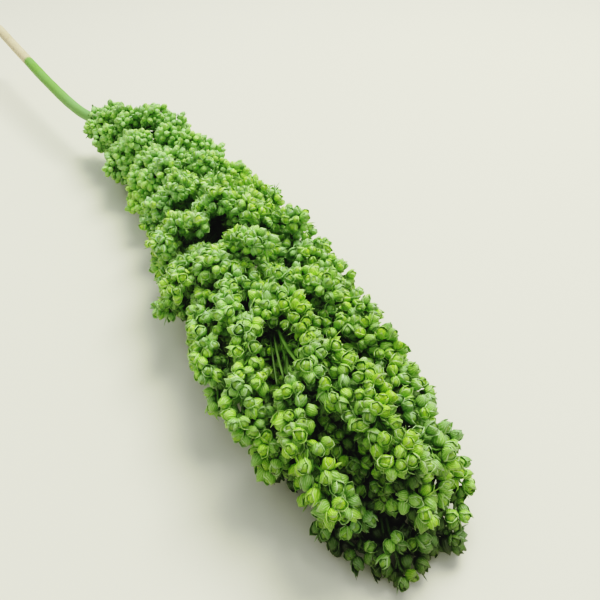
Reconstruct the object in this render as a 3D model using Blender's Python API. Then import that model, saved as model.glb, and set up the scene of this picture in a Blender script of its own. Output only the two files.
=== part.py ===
# Sorghum seed head, cut with part of its stalk and lying on its side.
#
# The long axis runs along +X: the cut end of the stalk is at -X and the
# drooping tip of the head at +X. +Z is up and the head rests on z = 0.
# The stalk runs on inside the head as the rachis. Every other solid is one
# seed-bearing branch: a plump teardrop whose thin end starts at the rachis,
# which leans towards the tip and stops short of its neighbours.

import math

import bmesh
import bpy
from mathutils import Matrix, Vector

# ---------------------------------------------------------------- dimensions
HEAD_LENGTH = 0.342          # lowest branch to the tip of the head
STALK_LENGTH = 0.230         # bare stalk below the head
STALK_RADIUS_CUT = 0.0040    # at the cut end
STALK_RADIUS_HEAD = 0.0034   # where it enters the head
RACHIS_RADIUS_TIP = 0.0013   # at the thin end inside the head
RACHIS_END = 0.300           # where the rachis ends inside the head
BRANCH_COUNT = 54            # seed-bearing branches, lowest to tip
FIRST_BRANCH = 0.016         # station of the lowest branch
LAST_BRANCH = 0.318          # station of the branch at the tip
TURN = math.radians(137.5)   # from one branch to the next, around the rachis
BRANCH_A = 0.0275            # half length of a full-size branch
BRANCH_B = 0.0195            # half width, around the head
BRANCH_C = 0.0150            # half thickness, outwards
LEAN = math.radians(27)      # of a branch, out from the head's axis
PRESS = 0.0022               # how far the table flattens the lowest seeds
GAP = 0.0003                 # between touching pieces

# The head's cross-section along its length: station, half width, half
# height, and the middle of the section across and above the table.
SECTIONS = (
    (0.000, 0.0120, 0.0100, 0.0080, 0.0300),
    (0.025, 0.0225, 0.0175, 0.0175, 0.0270),
    (0.045, 0.0280, 0.0220, 0.0220, 0.0250),
    (0.070, 0.0300, 0.0240, 0.0220, 0.0240),
    (0.100, 0.0305, 0.0245, 0.0220, 0.0240),
    (0.130, 0.0315, 0.0250, 0.0210, 0.0245),
    (0.160, 0.0345, 0.0260, 0.0170, 0.0255),
    (0.190, 0.0370, 0.0275, 0.0120, 0.0270),
    (0.220, 0.0380, 0.0280, 0.0080, 0.0275),
    (0.245, 0.0365, 0.0275, 0.0060, 0.0270),
    (0.270, 0.0340, 0.0260, 0.0040, 0.0250),
    (0.295, 0.0290, 0.0225, 0.0025, 0.0215),
    (0.314, 0.0245, 0.0190, 0.0025, 0.0180),
    (0.330, 0.0175, 0.0145, 0.0025, 0.0140),
    (HEAD_LENGTH, 0.0060, 0.0060, 0.0030, 0.0090),
)

# The middle line of the stalk and the rachis: station, across, height.
RACHIS = (
    (-STALK_LENGTH, -0.0133, 0.0440),
    (-0.140, -0.0095, 0.0392),
    (-0.070, -0.0060, 0.0350),
    (-0.015, -0.0010, 0.0315),
    (0.010, 0.0060, 0.0298),
    (0.030, 0.0135, 0.0284),
    (0.050, 0.0180, 0.0272),
    (0.080, 0.0203, 0.0262),
    (0.110, 0.0205, 0.0256),
    (0.150, 0.0175, 0.0255),
    (0.190, 0.0122, 0.0260),
    (0.230, 0.0080, 0.0255),
    (0.270, 0.0050, 0.0230),
    (RACHIS_END, 0.0035, 0.0190),
)


# ------------------------------------------------------------------- helpers
def smooth(table, x):
    """Catmull-Rom reading of a table whose first column is the station."""
    n = len(table)
    x = min(max(x, table[0][0]), table[-1][0])
    i = 0
    while i < n - 2 and x > table[i + 1][0]:
        i += 1
    p = [table[max(0, min(n - 1, i + k))] for k in (-1, 0, 1, 2)]
    span = p[2][0] - p[1][0]
    t = (x - p[1][0]) / span
    out = []
    for c in range(1, len(table[0])):
        m1 = (p[2][c] - p[0][c]) / max(p[2][0] - p[0][0], 1e-9) * span
        m2 = (p[3][c] - p[1][c]) / max(p[3][0] - p[1][0], 1e-9) * span
        h = (2 * t**3 - 3 * t**2 + 1, t**3 - 2 * t**2 + t,
             -2 * t**3 + 3 * t**2, t**3 - t**2)
        out.append(h[0] * p[1][c] + h[1] * m1 + h[2] * p[2][c] + h[3] * m2)
    return out


def rachis_point(x):
    y, z = smooth(RACHIS, x)
    return Vector((x, y, z))


def rachis_radius(x):
    if x <= 0:
        t = (x + STALK_LENGTH) / STALK_LENGTH
        return STALK_RADIUS_CUT + (STALK_RADIUS_HEAD - STALK_RADIUS_CUT) * t
    t = min(x / RACHIS_END, 1.0)
    return STALK_RADIUS_HEAD + (RACHIS_RADIUS_TIP - STALK_RADIUS_HEAD) * t


def material(name, colour, roughness):
    mat = bpy.data.materials.new(name)
    mat.use_nodes = True
    bsdf = mat.node_tree.nodes["Principled BSDF"]
    bsdf.inputs["Base Color"].default_value = (*colour, 1.0)
    bsdf.inputs["Roughness"].default_value = roughness
    bsdf.inputs["Metallic"].default_value = 0.0
    mat.diffuse_color = (*colour, 1.0)
    return mat


def branches():
    """Centre, axes and half sizes of every seed-bearing branch."""
    out = []
    for i in range(BRANCH_COUNT):
        f = i / (BRANCH_COUNT - 1)
        x = FIRST_BRANCH + (LAST_BRANCH - FIRST_BRANCH) * f
        angle = i * TURN + 0.6
        hw, hh, cy, cz = smooth(SECTIONS, x)
        radial = Vector((0.0, hw * math.cos(angle), hh * math.sin(angle)))
        reach = radial.length
        outward = radial.normalized()
        # shorter branches at the foot of the head and at its tip
        size = min(1.0, 0.58 + 0.42 * (x / 0.07), 0.74 + 0.26 * ((HEAD_LENGTH - x) / 0.08))
        lean = LEAN * min(1.0, max(0.25, (HEAD_LENGTH - 0.005 - x) / 0.06))
        along = Vector((math.cos(lean), 0, 0)) + outward * math.sin(lean)
        across = along.cross(outward).normalized()
        out_axis = across.cross(along).normalized()
        a, b, c = (size * v for v in (BRANCH_A, BRANCH_B, BRANCH_C))
        half = math.hypot(a * math.sin(lean), c * math.cos(lean))
        k = max(0.18, 1.0 - half / reach)
        centre = Vector((x, cy, cz)) + radial * k
        out.append({"centre": centre, "along": along, "across": across,
                    "outward": out_axis, "half": (a, b, c), "size": size,
                    "station": x})
    return out


# --------------------------------------------------------------------- solids
for obj in list(bpy.data.objects):
    bpy.data.objects.remove(obj, do_unlink=True)

head = bpy.data.collections.new("sorghum_seed_head")
bpy.context.scene.collection.children.link(head)

straw_green = material("stalk", (0.22, 0.36, 0.10), 0.55)
seed_green = material("seed_green", (0.16, 0.33, 0.05), 0.6)

# The stalk and the rachis: one tapering tube with closed ends.
curve = bpy.data.curves.new("stem", "CURVE")
curve.dimensions = "3D"
curve.bevel_depth = 1.0
curve.bevel_resolution = 2
curve.use_fill_caps = True
spline = curve.splines.new("POLY")
stations = []
x = -STALK_LENGTH
while x < RACHIS_END - 1e-6:
    stations.append(x)
    x += 0.016
stations.append(RACHIS_END)
spline.points.add(len(stations) - 1)
for point, x in zip(spline.points, stations):
    point.co = (*rachis_point(x), 1.0)
    point.radius = rachis_radius(x)
stem = bpy.data.objects.new("stem", curve)
stem.data.materials.append(straw_green)
head.objects.link(stem)

# The branches. Where two would meet, each stops at a flat face half a gap
# from the plane between them, and the lowest ones are flat on the table.
rows = branches()
for i, row in enumerate(rows):
    bm = bmesh.new()
    bmesh.ops.create_icosphere(bm, subdivisions=2, radius=1.0)
    a, b, c = row["half"]
    turn = Matrix((row["along"], row["across"], row["outward"])).transposed().to_4x4()
    bmesh.ops.transform(bm, matrix=Matrix.Translation(row["centre"]) @ turn
                        @ Matrix.Diagonal((a, b, c, 1.0)), verts=bm.verts)
    # its thin end at the rachis makes the teardrop
    foot = rachis_point(min(row["centre"].x - 0.004, RACHIS_END - 0.004))
    bmesh.ops.create_vert(bm, co=foot)
    bmesh.ops.delete(bm, geom=bm.edges[:] + bm.faces[:], context="EDGES_FACES")
    hull = bmesh.ops.convex_hull(bm, input=bm.verts)
    spare = [v for v in set(hull["geom_interior"]) | set(hull["geom_unused"])
             if isinstance(v, bmesh.types.BMVert)]
    bmesh.ops.delete(bm, geom=spare, context="VERTS")

    cuts = [(Vector((0, 0, PRESS)), Vector((0, 0, -1)))]
    # clear of the rachis all along the branch
    x = row["centre"].x
    if x - a < RACHIS_END:
        middle = rachis_point(min(x, RACHIS_END))
        tangent = (rachis_point(min(x + 0.006, RACHIS_END))
                   - rachis_point(min(x, RACHIS_END) - 0.006)).normalized()
        away = row["centre"] - middle
        away -= tangent * away.dot(tangent)
        away.normalize()
        reach = max((rachis_point(min(x + step * 0.004, RACHIS_END)) - middle).dot(away)
                    + rachis_radius(x + step * 0.004) for step in range(-9, 9)
                    if abs(step * 0.004) <= a + 0.004)
        cuts.append((middle + away * (reach + GAP), -away))
    for j, other in enumerate(rows):
        if j == i:
            continue
        between = other["centre"] - row["centre"]
        d = between.length
        if d > 0.075:
            continue
        w = (0.0195 * row["size"]) ** 2 - (0.0195 * other["size"]) ** 2
        at = 0.5 * d + w / (2 * d) - GAP / 2
        n = between / d
        cuts.append((row["centre"] + n * at, n))
    for co, no in cuts:
        got = bmesh.ops.bisect_plane(bm, geom=bm.verts[:] + bm.edges[:] + bm.faces[:],
                                     dist=1e-6, plane_co=co, plane_no=no, clear_outer=True)
        rim = [e for e in bm.edges if e.is_boundary]
        if rim:
            bmesh.ops.contextual_create(bm, geom=rim)
    bmesh.ops.remove_doubles(bm, verts=bm.verts, dist=0.00025)
    bmesh.ops.dissolve_degenerate(bm, edges=bm.edges, dist=0.0001)
    bmesh.ops.recalc_face_normals(bm, faces=bm.faces)
    name = f"seed_branch_{i + 1:02d}"
    mesh = bpy.data.meshes.new(name)
    bm.to_mesh(mesh)
    bm.free()
    mesh.materials.append(seed_green)
    mesh.shade_smooth()
    mesh.set_sharp_from_angle(angle=math.radians(50))
    head.objects.link(bpy.data.objects.new(name, mesh))

# The origin: under the middle of the whole object, on the table.
bpy.context.view_layer.update()
low, high = Vector((9, 9, 9)), Vector((-9, -9, -9))
graph = bpy.context.evaluated_depsgraph_get()
for obj in head.objects:
    mesh = obj.evaluated_get(graph).to_mesh()
    for v in mesh.vertices:
        for k in range(3):
            low[k] = min(low[k], v.co[k])
            high[k] = max(high[k], v.co[k])
    obj.evaluated_get(graph).to_mesh_clear()
for obj in head.objects:
    obj.location = (-(low.x + high.x) / 2, -(low.y + high.y) / 2, -low.z)
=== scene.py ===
# The looks of a dried, green-dyed sorghum seed head that lies on its side.
#
# Every seed-bearing branch of the frame is replaced by a piece made of real
# parts: stalked twigs, and on them the husked seeds, each a round seed in two
# cupped glumes with pale thin margins, with narrow empty spikelets between.
# Seeds that show less are one closed body whose glumes the material draws.
# Lengths below are in millimetres until the meshes are written.
import math

import bpy
import numpy as np
from mathutils import Matrix, Vector
from mathutils.bvhtree import BVHTree
from mathutils.kdtree import KDTree


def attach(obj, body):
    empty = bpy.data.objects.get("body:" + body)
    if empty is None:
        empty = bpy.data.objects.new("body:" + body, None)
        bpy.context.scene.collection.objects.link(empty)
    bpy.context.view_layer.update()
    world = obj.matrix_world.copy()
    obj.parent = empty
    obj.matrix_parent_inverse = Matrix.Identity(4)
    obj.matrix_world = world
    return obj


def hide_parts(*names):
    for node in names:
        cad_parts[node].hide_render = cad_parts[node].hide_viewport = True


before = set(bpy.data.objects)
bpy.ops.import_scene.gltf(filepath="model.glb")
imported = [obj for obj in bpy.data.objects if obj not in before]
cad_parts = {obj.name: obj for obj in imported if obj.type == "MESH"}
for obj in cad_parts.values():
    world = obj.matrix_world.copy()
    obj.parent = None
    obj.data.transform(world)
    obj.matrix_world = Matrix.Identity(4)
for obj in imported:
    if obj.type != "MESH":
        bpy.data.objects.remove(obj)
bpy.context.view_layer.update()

rng = np.random.default_rng(11)

# ------------------------------------------------------------ the head's form
HEAD_LENGTH = 342.0
STALK_LENGTH = 230.0
RACHIS_END = 300.0
# station, half width, half height, middle across, middle above the table
SECTIONS = np.array((
    (0.0, 12.0, 10.0, 8.0, 30.0),
    (25.0, 22.5, 17.5, 17.5, 27.0),
    (45.0, 28.0, 22.0, 22.0, 25.0),
    (70.0, 30.0, 24.0, 22.0, 24.0),
    (100.0, 30.5, 24.5, 22.0, 24.0),
    (130.0, 31.5, 25.0, 21.0, 24.5),
    (160.0, 34.5, 26.0, 17.0, 25.5),
    (190.0, 37.0, 27.5, 12.0, 27.0),
    (220.0, 38.0, 28.0, 8.0, 27.5),
    (245.0, 36.5, 27.5, 6.0, 27.0),
    (270.0, 34.0, 26.0, 4.0, 25.0),
    (295.0, 29.0, 22.5, 2.5, 21.5),
    (314.0, 24.5, 19.0, 2.5, 18.0),
    (330.0, 17.5, 14.5, 2.5, 14.0),
    (HEAD_LENGTH, 6.0, 6.0, 3.0, 9.0),
))
RACHIS = np.array((
    (-STALK_LENGTH, -13.3, 44.0),
    (-140.0, -9.5, 39.2),
    (-70.0, -6.0, 35.0),
    (-15.0, -1.0, 31.5),
    (10.0, 6.0, 29.8),
    (30.0, 13.5, 28.4),
    (50.0, 18.0, 27.2),
    (80.0, 20.3, 26.2),
    (110.0, 20.5, 25.6),
    (150.0, 17.5, 25.5),
    (190.0, 12.2, 26.0),
    (230.0, 8.0, 25.5),
    (270.0, 5.0, 23.0),
    (RACHIS_END, 3.5, 19.0),
))
PRESS = 2.2
BRANCH_COUNT = 54
SEED = 3.35            # width of a husked seed
SEED_GAP = 2.62        # least distance between two seeds' middles
FINGERS = 235          # drooping branchlets, apart from those listed below

# The branchlets at the front, as seen by the camera: base and end, each as
# column, row and height, then the radius at which their seeds sit.
FRONT = (
    ((284, 392, 38), (304, 446, 38), (351, 524, 23), 4.8),
    ((280, 352, 40), (288, 380, 41), (295, 411, 39), 3.8),
    ((241, 362, 39), (243, 400, 38), (246, 436, 27), 5.0),
    ((262, 412, 29), (268, 445, 26), (277, 474, 16), 4.6),
    ((242, 320, 42), (248, 348, 43), (255, 375, 38), 4.9),
    ((206, 322, 35), (207, 355, 34), (212, 386, 25), 4.5),
    ((216, 362, 27), (218, 390, 24), (222, 415, 15), 4.2),
    ((294, 330, 44), (308, 354, 46), (322, 378, 43), 4.8),
    ((318, 345, 45), (334, 364, 46), (350, 385, 43), 4.4),
    ((320, 367, 42), (332, 390, 43), (342, 412, 40), 4.8),
    ((346, 362, 43), (365, 386, 44), (384, 412, 41), 5.0),
    ((346, 396, 39), (358, 416, 39), (368, 438, 35), 4.5),
    ((326, 418, 26), (336, 440, 25), (345, 462, 20), 4.0),
    ((362, 392, 42), (378, 416, 43), (391, 442, 39), 4.9),
    ((372, 412, 38), (394, 444, 40), (414, 475, 36), 5.3),
    ((392, 442, 36), (410, 466, 36), (425, 487, 31), 4.9),
    ((416, 430, 33), (433, 454, 33), (446, 477, 27), 4.6),
    ((424, 420, 28), (439, 434, 28), (451, 452, 22), 4.0),
    ((446, 464, 20), (456, 474, 20), (463, 483, 18), 1.9),
    ((424, 468, 24), (434, 486, 22), (441, 502, 15), 4.0),
    ((406, 472, 28), (415, 498, 26), (421, 521, 18), 4.8),
    ((356, 322, 38), (378, 342, 39), (397, 362, 34), 4.9),
    ((382, 358, 35), (398, 376, 35), (412, 394, 29), 4.4),
    ((398, 376, 30), (414, 391, 30), (428, 406, 24), 4.4),
    ((404, 398, 32), (420, 414, 32), (433, 430, 26), 4.3),
    ((418, 520, 10), (438, 530, 11), (457, 539, 6), 2.5),
    ((424, 526, 8), (434, 537, 8), (441, 547, 4), 2.8),
    ((384, 528, 12), (396, 556, 12), (404, 580, 4), 3.6),
    ((400, 524, 12), (414, 542, 11), (424, 560, 5), 3.7),
    ((376, 514, 12), (385, 543, 11), (392, 566, 4), 3.6),
    ((355, 504, 14), (360, 534, 12), (364, 560, 4), 4.2),
    ((340, 488, 14), (338, 515, 12), (337, 541, 4), 4.0),
    ((350, 448, 20), (357, 478, 19), (362, 505, 13), 4.3),
    ((372, 452, 22), (379, 482, 21), (384, 508, 15), 4.2),
    ((370, 500, 12), (376, 526, 11), (382, 548, 5), 4.4),
    ((385, 478, 23), (392, 498, 22), (398, 513, 17), 3.8),
    ((300, 452, 22), (310, 480, 20), (322, 506, 12), 4.4),
    ((262, 440, 16), (275, 464, 14), (290, 488, 6), 4.4),
    ((392, 552, 8), (402, 560, 9), (414, 572, 4), 3.4),
    ((386, 498, 12), (396, 520, 11), (406, 542, 5), 4.2),
    ((396, 540, 10), (405, 560, 10), (411, 577, 5), 3.4),
    ((370, 338, 25), (388, 358, 24), (402, 380, 18), 4.6),
    ((250, 286, 43), (264, 305, 44), (275, 327, 42), 4.6),
    ((282, 292, 44), (297, 314, 45), (312, 340, 43), 4.9),
    ((316, 304, 36), (330, 324, 35), (344, 346, 31), 4.6),
    ((330, 330, 32), (346, 350, 31), (362, 372, 27), 4.6),
    ((394, 392, 21), (409, 412, 20), (423, 430, 14), 4.6),
    ((418, 430, 16), (432, 450, 15), (441, 470, 8), 4.2),
    ((404, 500, 14), (420, 520, 13), (432, 532, 7), 3.8),
    ((428, 484, 16), (438, 500, 14), (445, 512, 9), 3.6),
    ((350, 328, 12), (364, 348, 11), (378, 368, 6), 4.2),
    ((350, 468, 9), (364, 486, 8), (376, 504, 4), 4.2),
    ((288, 216, 38), (300, 231, 37), (311, 246, 33), 4.6),
)
# Dark openings between the branchlets: column, row, half width, half height,
# turn in degrees and depth.
OPENINGS = (
    (280, 358, 15, 25, 22, 17.0),
    (197, 237, 18, 7, 30, 26.0),
    (257, 266, 21, 8, 10, 24.0),
    (246, 299, 6, 12, -15, 18.0),
    (271, 229, 8, 6, -30, 15.0),
    (367, 474, 10, 11, 20, 12.0),
    (392, 521, 18, 12, 0, 12.0),
    (161, 226, 6, 6, 0, 9.0),
    (312, 228, 11, 6, 20, 9.0),
    (277, 300, 6, 6, 0, 8.0),
    (312, 390, 7, 11, -35, 10.0),
    (266, 356, 7, 12, 10, 14.0),
    (291, 333, 4, 11, -32, 12.0),
    (337, 360, 4, 13, -47, 9.0),
    (278, 492, 13, 13, 0, 60.0),
)


def smooth(table, x):
    """Catmull-Rom reading of a table whose first column is the station."""
    n = len(table)
    x = min(max(x, table[0][0]), table[-1][0])
    i = 0
    while i < n - 2 and x > table[i + 1][0]:
        i += 1
    p = [table[max(0, min(n - 1, i + k))] for k in (-1, 0, 1, 2)]
    span = p[2][0] - p[1][0]
    t = (x - p[1][0]) / span
    m1 = (p[2][1:] - p[0][1:]) / max(p[2][0] - p[0][0], 1e-9) * span
    m2 = (p[3][1:] - p[1][1:]) / max(p[3][0] - p[1][0], 1e-9) * span
    return ((2 * t**3 - 3 * t**2 + 1) * p[1][1:] + (t**3 - 2 * t**2 + t) * m1
            + (-2 * t**3 + 3 * t**2) * p[2][1:] + (t**3 - t**2) * m2)


def rachis_point(x):
    y, z = smooth(RACHIS, x)
    return np.array((min(max(x, -STALK_LENGTH), RACHIS_END), y, z))


def rachis_radius(x):
    if x <= 0:
        return 4.0 - 0.6 * (x + STALK_LENGTH) / STALK_LENGTH
    return 3.4 + (1.3 - 3.4) * min(x / RACHIS_END, 1.0)


def unit(v):
    v = np.asarray(v, float)
    return v / np.maximum(np.linalg.norm(v, axis=-1, keepdims=True), 1e-12)


def envelope(x, angle):
    """A point of the head's outline, its outward normal and the way to the tip."""
    hw, hh, cy, cz = smooth(SECTIONS, x)
    a = smooth(SECTIONS, x - 2.0)
    b = smooth(SECTIONS, x + 2.0)
    c, s = math.cos(angle), math.sin(angle)
    e = np.array((x, cy + hw * c, cz + hh * s))
    span = min(x + 2, HEAD_LENGTH) - max(x - 2, 0.0)
    t = unit((span, (b[2] + b[0] * c) - (a[2] + a[0] * c), (b[3] + b[1] * s) - (a[3] + a[1] * s)))
    n = np.array((0.0, c / hw, s / hh))
    n = unit(n - t * np.dot(n, t))
    return e, n, t


# the frame's own branches, by the same rule as the frame
def branch_centres():
    out = []
    for i in range(BRANCH_COUNT):
        x = 16.0 + (318.0 - 16.0) * i / (BRANCH_COUNT - 1)
        angle = i * math.radians(137.5) + 0.6
        hw, hh, cy, cz = smooth(SECTIONS, x)
        radial = np.array((0.0, hw * math.cos(angle), hh * math.sin(angle)))
        reach = np.linalg.norm(radial)
        size = min(1.0, 0.58 + 0.42 * (x / 70), 0.74 + 0.26 * ((HEAD_LENGTH - x) / 80))
        lean = math.radians(27) * min(1.0, max(0.25, (HEAD_LENGTH - 5 - x) / 60))
        half = math.hypot(27.5 * size * math.sin(lean), 15.0 * size * math.cos(lean))
        out.append(np.array((x, cy, cz)) + radial * max(0.18, 1.0 - half / reach))
    return np.array(out)


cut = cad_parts["stem"].data
co = np.zeros(len(cut.vertices) * 3)
cut.vertices.foreach_get("co", co)
co = co.reshape(-1, 3) * 1000
ring = co[co[:, 0] < co[:, 0].min() + 1.0]
ring = np.unique(np.round(ring, 2), axis=0)
SHIFT = (ring.min(0) + ring.max(0)) / 2 - RACHIS[0]
SHIFT[2] = -PRESS

# ------------------------------------------------------------------ the camera
FOCAL = 600.0                       # in pixels of a 600 x 600 picture
PITCH = math.radians(36.0)
VANISH_X = -143.0                   # where lines along the head meet, in pixels
CAMERA = np.array((395.4, -76.9, 162.0))
n_cam = np.array((0.0, math.cos(PITCH), math.sin(PITCH)))
vanish_y = 300 - FOCAL * math.tan(PITCH)
x_cam = -unit(((VANISH_X - 300) / FOCAL, -(vanish_y - 300) / FOCAL, -1.0))
y_cam = np.cross(n_cam, x_cam)
WORLD_FROM_CAM = np.array((x_cam, y_cam, n_cam))     # columns: the camera's axes


def pixels(p):
    """Where points of the head fall in the picture, and their depth."""
    c = (np.atleast_2d(p) - CAMERA) @ WORLD_FROM_CAM
    return np.stack((300 + FOCAL * c[:, 0] / -c[:, 2], 300 - FOCAL * c[:, 1] / -c[:, 2]), 1), -c[:, 2]


def at_pixel(px, py, z):
    """The point at height z that is seen at a pixel."""
    ray = WORLD_FROM_CAM @ np.array(((px - 300) / FOCAL, -(py - 300) / FOCAL, -1.0))
    return CAMERA + ray * ((z - CAMERA[2]) / ray[2])


camera = bpy.data.objects.new("camera", bpy.data.cameras.new("camera"))
bpy.context.scene.collection.objects.link(camera)
camera.data.sensor_fit = "HORIZONTAL"
camera.data.sensor_width = 36.0
camera.data.lens = 36.0 * FOCAL / 600.0
camera.data.clip_start = 0.005
camera.data.clip_end = 20.0
m = Matrix([[*WORLD_FROM_CAM[r], 0.0] for r in range(3)] + [[0, 0, 0, 1]])
m.translation = Vector((CAMERA + SHIFT) / 1000)
camera.matrix_world = m
bpy.context.scene.camera = camera


# --------------------------------------------------------- seeds, as small meshes
class Part:
    """Vertices, quads and triangles, and what each vertex is: x edge, y how
    much of it is body, z angle around, w way along."""

    def __init__(self):
        self.v, self.q, self.t, self.a = [], [], [], []

    def add(self, v, q=(), t=(), a=None):
        base = sum(len(x) for x in self.v)
        v = np.asarray(v, float)
        self.v.append(v)
        self.a.append(np.asarray(a, float))
        if len(q):
            self.q.append(np.asarray(q, int) + base)
        if len(t):
            self.t.append(np.asarray(t, int) + base)
        return self

    def done(self):
        self.v = np.concatenate(self.v)
        self.a = np.concatenate(self.a)
        self.q = np.concatenate(self.q) if self.q else np.zeros((0, 4), int)
        self.t = np.concatenate(self.t) if self.t else np.zeros((0, 3), int)
        self.triangles = 2 * len(self.q) + len(self.t)
        return self


def lathe(part, rings, cols, bottom, top, attr):
    """A closed body: rings is (rows, cols, 3), bottom and top its end points."""
    rows = len(rings)
    v = np.concatenate((rings.reshape(-1, 3), [bottom], [top]))
    q, t = [], []
    for j in range(rows - 1):
        for i in range(cols):
            k = (i + 1) % cols
            q.append((j * cols + i, j * cols + k, (j + 1) * cols + k, (j + 1) * cols + i))
    nb, nt = rows * cols, rows * cols + 1
    for i in range(cols):
        k = (i + 1) % cols
        t.append((k, i, nb))
        t.append(((rows - 1) * cols + i, (rows - 1) * cols + k, nt))
    part.add(v, q, t, attr)


def core(part, r=(1.40, 1.34, 1.62), cols=8, polar=(44, 86, 122, 150), top=1.0, dimple=0.0, u0=0.0):
    rows, attr = [], []
    for p in polar:
        p = math.radians(p)
        for i in range(cols):
            f = 2 * math.pi * i / cols
            rows.append((r[0] * math.sin(p) * math.cos(f), r[1] * math.sin(p) * math.sin(f), -r[2] * math.cos(p)))
            attr.append((0.0, 1.0, f + u0, p / math.pi))
    rings = np.array(rows).reshape(len(polar), cols, 3)
    attr += [(0, 1, 0, 0), (-dimple, 1, 0, 1)]
    lathe(part, rings, cols, (0, 0, -r[2]), (0, 0, r[2] * top), attr)


def glume(part, around, half, start, stop, lift=(0.05, 0.10), flare=0.10, tip=0.22, tipup=0.12,
          nu=6, nv=5, thick=0.10, r=(1.40, 1.34, 1.62), keel=0.06):
    """A cupped husk leaf with two faces and a rim, hugging the seed."""
    s = {6: (-1, -0.74, -0.26, 0.26, 0.74, 1), 5: (-1, -0.6, 0, 0.6, 1), 4: (-1, -0.45, 0.45, 1)}[nu]
    outer, attr = [], []
    for j in range(nv):
        tau = (j / (nv - 1)) ** 0.9
        p = math.radians(start + (stop - start) * tau)
        k = min(max((tau - 0.42) / 0.58, 0), 1)
        k = k * k * (3 - 2 * k)
        a = math.radians(half) * (1 - (1 - tip) * k)
        for i in range(nu):
            f = math.radians(around) + a * s[i]
            up = lift[0] + lift[1] * tau + flare * abs(s[i]) ** 3 * (0.35 + 0.65 * tau) + keel * (1 - abs(s[i])) * tau
            d = np.array((r[0] * math.sin(p) * math.cos(f), r[1] * math.sin(p) * math.sin(f), -r[2] * math.cos(p)))
            d = d * (1 + up)
            d[2] += tipup * tau ** 3 * (1 - 0.6 * abs(s[i]))
            outer.append(d)
            edge = 1.0 if abs(s[i]) == 1 or j == nv - 1 else (0.22 if abs(s[i]) > 0.7 else 0.05)
            if j == 0:
                edge *= 0.3
            attr.append((edge, 0.0, s[i] * 1.35, tau))
    outer = np.array(outer)
    inner = outer * (1 - thick / np.linalg.norm(outer, axis=1, keepdims=True))
    n = nu * nv
    q = []
    for j in range(nv - 1):
        for i in range(nu - 1):
            a0, a1, b0, b1 = j * nu + i, j * nu + i + 1, (j + 1) * nu + i, (j + 1) * nu + i + 1
            q.append((a0, a1, b1, b0))
            q.append((n + a0, n + b0, n + b1, n + a1))
    for i in range(nu - 1):
        q.append((i + 1, i, n + i, n + i + 1))
        k = (nv - 1) * nu + i
        q.append((k, k + 1, n + k + 1, n + k))
    for j in range(nv - 1):
        a0, b0 = j * nu, (j + 1) * nu
        q.append((a0, b0, n + b0, n + a0))
        a1, b1 = a0 + nu - 1, b0 + nu - 1
        q.append((b1, a1, n + a1, n + b1))
    part.add(np.concatenate((outer, inner)), q, a=attr + attr)


def blade(part, length=4.0, width=1.0, fold=0.28, curl=0.5, stations=(0.16, 0.42, 0.74), thick=0.16):
    """A narrow empty spikelet: a folded blade, pointed at both ends."""
    rows, attr = [], []
    for t in stations:
        w = 0.5 * width * math.sin(math.pi * t ** 0.8) ** 0.75
        z = length * t
        x = curl * (t ** 2)
        for (px, py, e) in ((-0.02, -1, 1.0), (thick + fold * w, 0, 0.15), (-0.02, 1, 1.0), (-thick + fold * w, 0, 0.3)):
            rows.append((x + px, py * w, z))
            attr.append((e, 0.0, py * 1.2, t))
    attr += [(0.2, 0.0, 0, 0), (1.0, 0.0, 0, 1)]
    lathe(part, np.array(rows).reshape(len(stations), 4, 3)[:, ::-1], 4, (0, 0, 0), (curl, 0, length),
          [attr[j * 4 + 3 - i] for j in range(len(stations)) for i in range(4)] + attr[-2:])


def wrapped(part, cols, steps, polar, r=(1.52, 1.46, 1.70), point=0.3, dimple=0.0, step=0.11):
    """A seed in overlapping husks, as one closed body with stepped margins."""
    per = cols // steps
    fr = {4: (0.0, 0.36, 0.70, 0.93), 3: (0.0, 0.5, 0.92), 2: (0.0, 0.9)}[per]
    rows, attr = [], []
    for j, p in enumerate(polar):
        p = math.radians(p)
        for k in range(steps):
            for f in fr:
                around = 2 * math.pi * (k + f) / steps + 0.35 * j / len(polar)
                g = 1 + step * (1 - f) * (0.25 + 0.75 * j / (len(polar) - 1)) - 0.02
                rows.append((g * r[0] * math.sin(p) * math.cos(around), g * r[1] * math.sin(p) * math.sin(around),
                             -r[2] * math.cos(p) * (1 + 0.06 * (1 - f))))
                edge = 0.85 if f == 0 else 0.16 if f < 0.6 else 0.0
                if j == len(polar) - 1:
                    edge = max(edge, 0.45)
                attr.append((edge * (0.35 + 0.65 * min(1, j / 2)), 0.8, around, p / math.pi))
    attr += [(0.1, 0.8, 0, 0), (-dimple if dimple else 0.7, 0.8, 0, 1)]
    lathe(part, np.array(rows).reshape(len(polar), cols, 3), cols, (0, 0, -r[2]), (0, 0, r[2] * (1 + point)), attr)


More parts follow.
